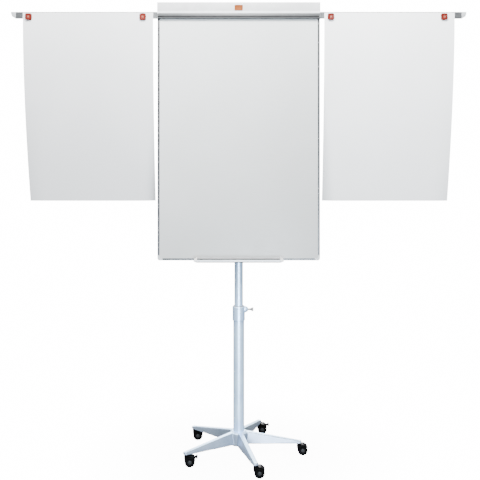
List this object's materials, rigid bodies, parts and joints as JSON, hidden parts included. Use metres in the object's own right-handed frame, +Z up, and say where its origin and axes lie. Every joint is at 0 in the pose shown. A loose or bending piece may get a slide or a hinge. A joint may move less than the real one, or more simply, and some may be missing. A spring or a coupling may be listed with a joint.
{
  "type": "flip chart easel",
  "caption": "Mobile flip chart easel: framed whiteboard with pad clamp and pen tray on a height-adjustable column, star base on casters, side arms holding paper sheets.",
  "frame": {"origin": "on the floor, at the foot of the column's axis", "axes": "+Z up, -Y out of the writing surface towards the user, +X to the right of someone facing the board"},
  "size_m": [1.98, 0.5367, 1.959],
  "materials": {
    "silver_paint": "satin",
    "bare_steel": "satin",
    "bush_plastic": "matte",
    "knob_grey": "satin",
    "grey_plastic": "satin",
    "board_enamel": "gloss",
    "core_board": "matte",
    "back_metal": "satin",
    "frame_aluminium": "satin",
    "light_plastic": "satin",
    "white_paint": "satin",
    "white_plastic": "satin",
    "badge_orange": "satin",
    "paper": "matte",
    "magnet_orange": "satin",
    "caster_black": "satin",
    "wheel_black": "matte"
  },
  "bodies": {
    "base": {"star_base": "silver_paint", "base_bolt": "bare_steel", "lower_tube": "silver_paint", "collar": "silver_paint", "collar_bush": "bush_plastic", "caster_stem_0": "bare_steel", "caster_stem_1": "bare_steel", "caster_stem_2": "bare_steel", "caster_stem_3": "bare_steel", "caster_stem_4": "bare_steel"},
    "mast": {"upper_tube": "silver_paint", "upper_tube_guide": "bush_plastic", "upper_saddle": "grey_plastic", "lower_saddle": "grey_plastic", "writing_surface": "board_enamel", "board_core": "core_board", "back_sheet": "back_metal", "frame_left_rail": "frame_aluminium", "frame_right_rail": "frame_aluminium", "frame_bottom_rail": "frame_aluminium", "corner_bottom_left": "light_plastic", "corner_bottom_right": "light_plastic", "top_rail": "frame_aluminium", "hinge_rod": "bare_steel", "pen_tray": "frame_aluminium", "tray_end_left": "white_plastic", "tray_end_right": "white_plastic", "arm_bracket_left": "grey_plastic", "arm_bracket_right": "grey_plastic"},
    "knob": {"clamp_knob": "knob_grey"},
    "clamp": {"header_plate": "white_paint", "header_badge": "badge_orange", "clamp_bar": "grey_plastic"},
    "hook_left": {"pad_hook_left": "light_plastic"},
    "hook_right": {"pad_hook_right": "light_plastic"},
    "arm_left": {"side_arm_left": "frame_aluminium", "sheet_left": "paper"},
    "arm_right": {"side_arm_right": "frame_aluminium", "sheet_right": "paper"},
    "magnet_left_inner": {"magnet_left_inner": "magnet_orange"},
    "magnet_left_outer": {"magnet_left_outer": "magnet_orange"},
    "magnet_right_inner": {"magnet_right_inner": "magnet_orange"},
    "magnet_right_outer": {"magnet_right_outer": "magnet_orange"},
    "caster_0": {"caster_hood_0": "caster_black"},
    "wheel_0_front": {"caster_wheel_0_front": "wheel_black"},
    "wheel_0_back": {"caster_wheel_0_back": "wheel_black"},
    "caster_1": {"caster_hood_1": "caster_black"},
    "wheel_1_front": {"caster_wheel_1_front": "wheel_black"},
    "wheel_1_back": {"caster_wheel_1_back": "wheel_black"},
    "pedal_1": {"brake_pedal_1": "caster_black"},
    "caster_2": {"caster_hood_2": "caster_black"},
    "wheel_2_front": {"caster_wheel_2_front": "wheel_black"},
    "wheel_2_back": {"caster_wheel_2_back": "wheel_black"},
    "caster_3": {"caster_hood_3": "caster_black"},
    "wheel_3_front": {"caster_wheel_3_front": "wheel_black"},
    "wheel_3_back": {"caster_wheel_3_back": "wheel_black"},
    "pedal_3": {"brake_pedal_3": "caster_black"},
    "caster_4": {"caster_hood_4": "caster_black"},
    "wheel_4_front": {"caster_wheel_4_front": "wheel_black"},
    "wheel_4_back": {"caster_wheel_4_back": "wheel_black"}
  },
  "joints": [
    {"name": "mast_height", "type": "slide", "parent": "base", "child": "mast", "axis": [0, 0, 1], "range_m": [-0.285, 0]},
    {"name": "knob_turn", "type": "hinge", "parent": "base", "child": "knob", "pos_m": [0, 0, 0.628], "axis": [1, 0, 0], "range_deg": [0, 360]},
    {"name": "clamp_open", "type": "hinge", "parent": "mast", "child": "clamp", "pos_m": [0, -0.0665, 1.951], "axis": [-1, 0, 0], "range_deg": [0, 35], "stiffness_Nm_per_rad": 0.6, "springref_deg": -17.19},
    {"name": "hook_left_slide", "type": "slide", "parent": "mast", "child": "hook_left", "axis": [1, 0, 0], "range_m": [-0.055, 0.055]},
    {"name": "hook_right_slide", "type": "slide", "parent": "mast", "child": "hook_right", "axis": [1, 0, 0], "range_m": [-0.055, 0.055]},
    {"name": "arm_left_swing", "type": "hinge", "parent": "mast", "child": "arm_left", "pos_m": [-0.33, -0.0325, 1.9116], "axis": [0, 0, -1], "range_deg": [0, 100]},
    {"name": "arm_right_swing", "type": "hinge", "parent": "mast", "child": "arm_right", "pos_m": [0.33, -0.0325, 1.9116], "axis": [0, 0, 1], "range_deg": [0, 100]},
    {"name": "magnet_left_inner_pull", "type": "slide", "parent": "arm_left", "child": "magnet_left_inner", "axis": [0, -1, 0], "range_m": [0, 0.03]},
    {"name": "magnet_left_outer_pull", "type": "slide", "parent": "arm_left", "child": "magnet_left_outer", "axis": [0, -1, 0], "range_m": [0, 0.03]},
    {"name": "magnet_right_inner_pull", "type": "slide", "parent": "arm_right", "child": "magnet_right_inner", "axis": [0, -1, 0], "range_m": [0, 0.03]},
    {"name": "magnet_right_outer_pull", "type": "slide", "parent": "arm_right", "child": "magnet_right_outer", "axis": [0, -1, 0], "range_m": [0, 0.03]},
    {"name": "caster_0_swivel", "type": "hinge", "parent": "base", "child": "caster_0", "pos_m": [0.26164, -0.01371, 0.045], "axis": [0, 0, 1], "continuous": true},
    {"name": "wheel_0_front_roll", "type": "hinge", "parent": "caster_0", "child": "wheel_0_front", "pos_m": [0.27794, -0.02626, 0.02124], "axis": [0, 1, 0], "continuous": true},
    {"name": "wheel_0_back_roll", "type": "hinge", "parent": "caster_0", "child": "wheel_0_back", "pos_m": [0.27794, -0.00116, 0.02124], "axis": [0, 1, 0], "continuous": true},
    {"name": "caster_1_swivel", "type": "hinge", "parent": "base", "child": "caster_1", "pos_m": [0.09389, 0.2446, 0.045], "axis": [0, 0, 1], "continuous": true},
    {"name": "wheel_1_front_roll", "type": "hinge", "parent": "caster_1", "child": "wheel_1_front", "pos_m": [0.11019, 0.23205, 0.02124], "axis": [0, 1, 0], "continuous": true},
    {"name": "wheel_1_back_roll", "type": "hinge", "parent": "caster_1", "child": "wheel_1_back", "pos_m": [0.11019, 0.25715, 0.02124], "axis": [0, 1, 0], "continuous": true},
    {"name": "pedal_1_press", "type": "hinge", "parent": "caster_1", "child": "pedal_1", "pos_m": [0.13186, 0.2446, 0.03817], "axis": [0, 1, 0], "range_deg": [0, 18]},
    {"name": "caster_2_swivel", "type": "hinge", "parent": "base", "child": "caster_2", "pos_m": [-0.20361, 0.16488, 0.045], "axis": [0, 0, 1], "continuous": true},
    {"name": "wheel_2_front_roll", "type": "hinge", "parent": "caster_2", "child": "wheel_2_front", "pos_m": [-0.18731, 0.15233, 0.02124], "axis": [0, 1, 0], "continuous": true},
    {"name": "wheel_2_back_roll", "type": "hinge", "parent": "caster_2", "child": "wheel_2_back", "pos_m": [-0.18731, 0.17743, 0.02124], "axis": [0, 1, 0], "continuous": true},
    {"name": "caster_3_swivel", "type": "hinge", "parent": "base", "child": "caster_3", "pos_m": [-0.21973, -0.14269, 0.045], "axis": [0, 0, 1], "continuous": true},
    {"name": "wheel_3_front_roll", "type": "hinge", "parent": "caster_3", "child": "wheel_3_front", "pos_m": [-0.20343, -0.15524, 0.02124], "axis": [0, 1, 0], "continuous": true},
    {"name": "wheel_3_back_roll", "type": "hinge", "parent": "caster_3", "child": "wheel_3_back", "pos_m": [-0.20343, -0.13015, 0.02124], "axis": [0, 1, 0], "continuous": true},
    {"name": "pedal_3_press", "type": "hinge", "parent": "caster_3", "child": "pedal_3", "pos_m": [-0.18176, -0.14269, 0.03817], "axis": [0, 1, 0], "range_deg": [0, 18]},
    {"name": "caster_4_swivel", "type": "hinge", "parent": "base", "child": "caster_4", "pos_m": [0.06781, -0.25307, 0.045], "axis": [0, 0, 1], "continuous": true},
    {"name": "wheel_4_front_roll", "type": "hinge", "parent": "caster_4", "child": "wheel_4_front", "pos_m": [0.08411, -0.26562, 0.02124], "axis": [0, 1, 0], "continuous": true},
    {"name": "wheel_4_back_roll", "type": "hinge", "parent": "caster_4", "child": "wheel_4_back", "pos_m": [0.08411, -0.24052, 0.02124], "axis": [0, 1, 0], "continuous": true}
  ]
}
